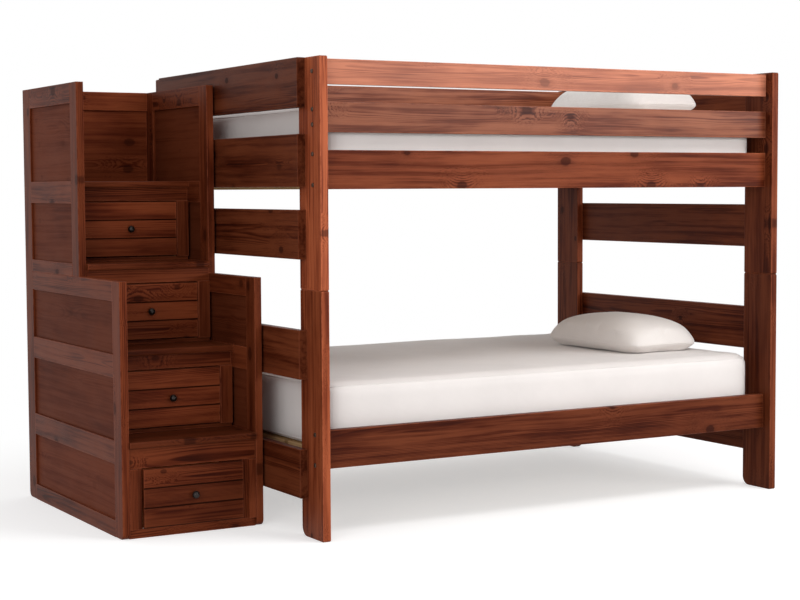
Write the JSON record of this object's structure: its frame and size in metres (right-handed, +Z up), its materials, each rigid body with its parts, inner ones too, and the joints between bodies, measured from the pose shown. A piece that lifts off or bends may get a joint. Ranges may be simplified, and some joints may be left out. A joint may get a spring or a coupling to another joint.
{
  "type": "bunk bed with storage stairs",
  "caption": "Wooden bunk bed with plank posts, board ends and guard rails, two mattresses and pillows, and a stepped side stair with a drawer under every tread.",
  "frame": {"origin": "on the floor, at the middle of the footprint of the bed and stairs together", "axes": "+Z up; +X along the bed, from the stairs towards the far end; +Y from the front, where the drawers open, towards the back"},
  "size_m": [2.757, 1.534, 1.73],
  "materials": {
    "bed_wood": "satin mahogany-stained knotty pine",
    "stair_wood": "satin mahogany-stained knotty pine",
    "deck_wood": "planed, unstained",
    "drawer_box_wood": "sanded, clear sealed",
    "runner_wood": "planed, waxed",
    "knob_metal": "dark, soft gloss",
    "steel_fittings": "satin",
    "mattress_fabric": "woven ticking",
    "pillow_fabric": "plain cotton"
  },
  "bodies": {
    "bed_and_stairs": {"back_lower_side_rail": "bed_wood", "back_mid_guard_rail": "bed_wood", "back_top_guard_rail": "bed_wood", "back_upper_side_rail": "bed_wood", "barrel_nuts": "steel_fittings", "drawer_runners": "runner_wood", "face_frames": "stair_wood", "front_lower_side_rail": "bed_wood", "front_mid_guard_rail": "bed_wood", "front_top_guard_rail": "bed_wood", "front_upper_side_rail": "bed_wood", "left_deck_board": "bed_wood", "left_foot_board": "bed_wood", "left_lower_headboard": "bed_wood", "left_middle_board": "bed_wood", "left_top_board": "bed_wood", "lower_mattress": "mattress_fabric", "lower_pillow": "pillow_fabric", "lower_slats": "deck_wood", "post_back_left_lower": "bed_wood", "post_back_left_upper": "bed_wood", "post_back_right_lower": "bed_wood", "post_back_right_upper": "bed_wood", "post_front_left_lower": "bed_wood", "post_front_left_upper": "bed_wood", "post_front_right_lower": "bed_wood", "post_front_right_upper": "bed_wood", "rail_bolts": "steel_fittings", "right_deck_board": "bed_wood", "right_foot_board": "bed_wood", "right_lower_headboard": "bed_wood", "right_middle_board": "bed_wood", "right_top_board": "bed_wood", "slat_ledgers": "deck_wood", "stacking_pins": "steel_fittings", "stair_back": "stair_wood", "stair_left_frame": "stair_wood", "stair_left_panels": "stair_wood", "stair_right_frame": "stair_wood", "stair_right_panels": "stair_wood", "stair_ties": "steel_fittings", "tread_1": "stair_wood", "tread_2": "stair_wood", "tread_3": "stair_wood", "tread_4": "stair_wood", "upper_mattress": "mattress_fabric", "upper_pillow": "pillow_fabric", "upper_slats": "deck_wood"},
    "drawer_1": {"drawer_box_1": "drawer_box_wood", "drawer_front_1": "stair_wood", "drawer_knob_1": "knob_metal"},
    "drawer_2": {"drawer_box_2": "drawer_box_wood", "drawer_front_2": "stair_wood", "drawer_knob_2": "knob_metal"},
    "drawer_3": {"drawer_box_3": "drawer_box_wood", "drawer_front_3": "stair_wood", "drawer_knob_3": "knob_metal"},
    "drawer_4": {"drawer_box_4": "drawer_box_wood", "drawer_front_4": "stair_wood", "drawer_knob_4": "knob_metal"}
  },
  "joints": [
    {"name": "drawer_1_slide", "type": "slide", "parent": "bed_and_stairs", "child": "drawer_1", "axis": [0, -1, 0], "range_m": [0, 0.3]},
    {"name": "drawer_2_slide", "type": "slide", "parent": "bed_and_stairs", "child": "drawer_2", "axis": [0, -1, 0], "range_m": [0, 0.3]},
    {"name": "drawer_3_slide", "type": "slide", "parent": "bed_and_stairs", "child": "drawer_3", "axis": [0, -1, 0], "range_m": [0, 0.3]},
    {"name": "drawer_4_slide", "type": "slide", "parent": "bed_and_stairs", "child": "drawer_4", "axis": [0, -1, 0], "range_m": [0, 0.3]}
  ]
}
